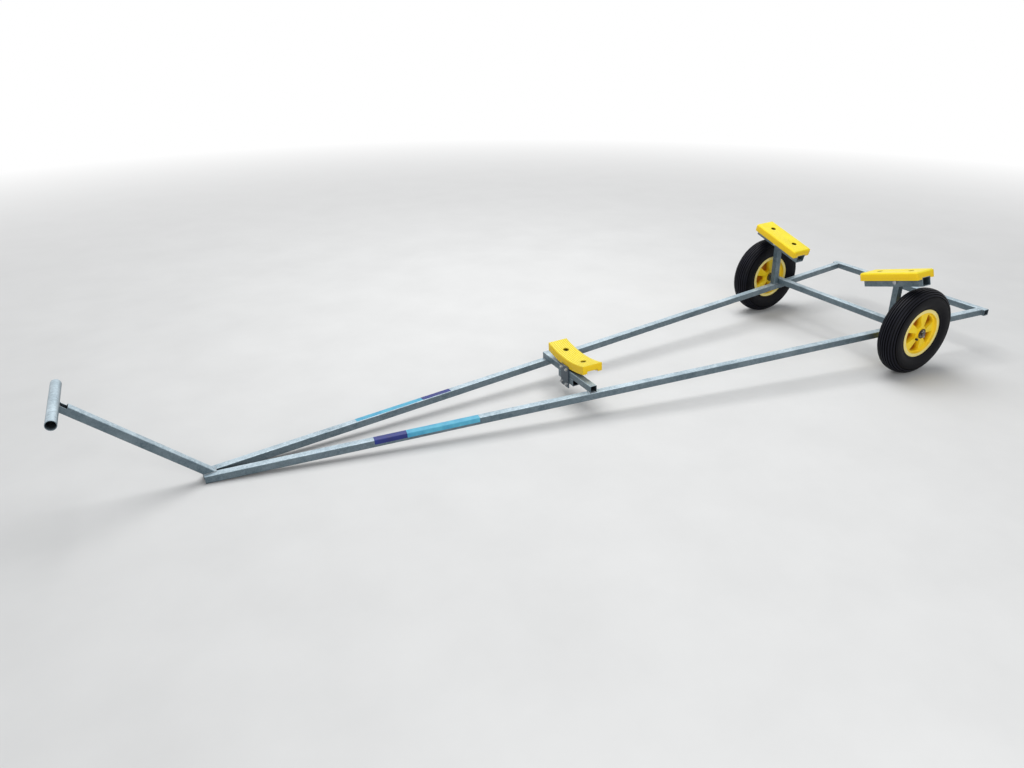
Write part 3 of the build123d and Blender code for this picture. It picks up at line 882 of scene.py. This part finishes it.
weld(*across_bead(foot_back, 0.0, tube))
weld(*across_bead(foot_front, 0.0, tube))
weld(*((nose_seam_x, 0.0, z) for z in nose_heights))
post_ring = round_post(chock_x, 0.0, post_top)
weld(*post_ring, *reversed(across_bead(chock_x - corner, 0.0, post_top)), post_ring[0])
for y in (-seam_y, seam_y):
    seam = []
    for step in range(seam_steps + 1):
        turn = radians(seam_start + seam_sweep * step / seam_steps)
        x = handle_x + seam_radius * cos(turn)
        seam.append((x, y, handle_z + seam_radius * sin(turn)))
    weld(*seam)
under_x = handle_x + under_depth * sin(drawbar_rise) - under_reach * cos(drawbar_rise)
under_z = handle_z - under_depth * cos(drawbar_rise) - under_reach * sin(drawbar_rise)
weld((under_x, -under_half, under_z), (under_x, under_half, under_z))

bead = weld_bead_tree()
mesh = grown(bead, weld_paths, {"Bead radius": bead_radius, "Pitch": bead_pitch}, rough_zinc)
show("frame_welds", mesh, "frame")


# Blank colour bands on the rails

film_lift = 0.00025
film_sink = 0.0004
film_edge = -0.0118
film_reach = 0.0185
corner_steps = 6
bands = (
    ("left_navy", 1, 2.3070, 2.4309, navy), ("left_sky", 1, 2.0218, 2.3069, sky),
    ("right_sky", -1, 2.1642, 2.4498, sky), ("right_navy", -1, 2.0347, 2.1641, navy),
)


def film_line(rise):
    """A line round a rail's top and outer side, risen from it: (outward, up) from its middle."""
    line = [(film_edge, half_tube + rise)]
    centre = half_tube - tube_corner
    reach = tube_corner + rise
    for step in range(corner_steps + 1):
        angle = pi / 2 - step * pi / (2 * corner_steps)
        line.append((centre + reach * cos(angle), centre + reach * sin(angle)))
    line.append((half_tube + rise, half_tube - film_reach))
    return line


def rail_band(sign, start, end, finish):
    """Film on a rail between two places along the frame."""
    outline = film_line(film_lift) + film_line(-film_sink)[::-1]
    count = len(outline)
    along = Vector((cos(toe), -sign * sin(toe), 0))
    outward = Vector((sin(toe), sign * cos(toe), 0))
    points = []
    for x in (start, end):
        middle = Vector((x, sign * rail_y(x), half_tube))
        middle -= along * (half_tube * tan(toe))
        for out, up in outline:
            points.append(on_frame(*(middle + outward * out + Vector((0, 0, up)))))
    faces = [tuple(range(count)), tuple(range(2 * count - 1, count - 1, -1))]
    for k in range(count):
        after = (k + 1) % count
        faces.append((k, after, count + after, count + k))
    return solid_mesh(points, faces, finish)


for name, sign, start, end, finish in bands:
    show(f"band_{name}", rail_band(sign, start, end, finish), "frame")


# Floor, light and camera

white = (1.0, 1.0, 1.0, 1.0)
cool_white = (0.93, 0.96, 1.0, 1.0)
fill_strength = 0.36
floor_half = 60.0
fade_start = 2.4
fade_end = 8.0


def backdrop_rays(nodes, links):
    """A value of 1 for the rays that see the white background: camera, glossy and transmission."""
    ways = nodes.new("ShaderNodeLightPath").outputs
    value = ways["Is Camera Ray"]
    for name in ("Is Glossy Ray", "Is Transmission Ray"):
        either = nodes.new("ShaderNodeMath")
        either.operation = "MAXIMUM"
        links.new(value, either.inputs[0])
        links.new(ways[name], either.inputs[1])
        value = either.outputs[0]
    return value


def floor_finish():
    """Plain pale floor that keeps the shadow near the trolley and turns white far away."""
    floor = Finish("pale_floor", 0.9)
    grain = floor.noise(3.0, 4.0)
    floor.colour(floor.ramp(grain, ((0.2, paint(214, 214, 213)), (0.8, paint(222, 222, 221)))))
    apart = floor.nodes.new("ShaderNodeVectorMath")
    apart.operation = "LENGTH"
    floor.put(floor.place, apart.inputs[0])
    seen = backdrop_rays(floor.nodes, floor.links)
    far = floor.between(apart.outputs["Value"], fade_start, fade_end)
    glow = floor.nodes.new("ShaderNodeEmission")
    glow.inputs["Color"].default_value = white
    mix = floor.nodes.new("ShaderNodeMixShader")
    floor.put(floor.reckon("MULTIPLY", seen, far), mix.inputs["Fac"])
    floor.put(floor.shader.outputs[0], mix.inputs[1])
    floor.put(glow.outputs[0], mix.inputs[2])
    floor.put(mix.outputs[0], floor.nodes["Material Output"].inputs["Surface"])
    return floor.material


def studio_world():
    """Even cool fill on the trolley, in front of a plain white background."""
    world = bpy.data.worlds.new("studio")
    world.use_nodes = True
    nodes = world.node_tree.nodes
    links = world.node_tree.links
    fill = nodes["Background"]
    fill.inputs["Color"].default_value = cool_white
    fill.inputs["Strength"].default_value = fill_strength
    backdrop = nodes.new("ShaderNodeBackground")
    backdrop.inputs["Color"].default_value = white
    backdrop.inputs["Strength"].default_value = 1.0
    both = nodes.new("ShaderNodeMixShader")
    links.new(backdrop_rays(nodes, links), both.inputs["Fac"])
    links.new(fill.outputs[0], both.inputs[1])
    links.new(backdrop.outputs[0], both.inputs[2])
    links.new(both.outputs[0], nodes["World Output"].inputs["Surface"])
    return world


def soft_lamp(name, place, target, size, power):
    """A square area lamp aimed at a point."""
    data = bpy.data.lights.new(name, "AREA")
    data.size = size
    data.energy = power
    lamp = bpy.data.objects.new(name, data)
    lamp.location = place
    aim = Vector(target) - Vector(place)
    lamp.rotation_euler = aim.to_track_quat("-Z", "Y").to_euler()
    bpy.context.scene.collection.objects.link(lamp)


floor_corners = (
    (-floor_half, -floor_half, 0), (floor_half, -floor_half, 0),
    (floor_half, floor_half, 0), (-floor_half, floor_half, 0),
)
floor_mesh = bpy.data.meshes.new("floor")
floor_mesh.from_pydata(floor_corners, [], [(0, 1, 2, 3)])
floor_mesh.materials.append(floor_finish())
floor_piece = bpy.data.objects.new("floor", floor_mesh)
bpy.context.scene.collection.objects.link(floor_piece)

bpy.context.scene.world = studio_world()
soft_lamp("overhead", (-0.4, -1.6, 4.6), (0.0, 0.0, 0.1), size=4.0, power=214.0)
soft_lamp("front_fill", (1.2, 4.2, 2.2), (-0.8, 0.0, 0.2), size=2.5, power=74.0)

camera_data = bpy.data.cameras.new("photo_view")
camera_data.sensor_fit = "HORIZONTAL"
camera_data.sensor_width = 36.0
camera_data.lens = 26.19
camera = bpy.data.objects.new("photo_view", camera_data)
camera.location = (shift + 3.04131, 2.4783, 1.4518)
camera.rotation_euler = (radians(64.25), 0.0, radians(153.54))
bpy.context.scene.collection.objects.link(camera)
bpy.context.scene.camera = camera
bpy.context.scene.view_settings.view_transform = "Standard"
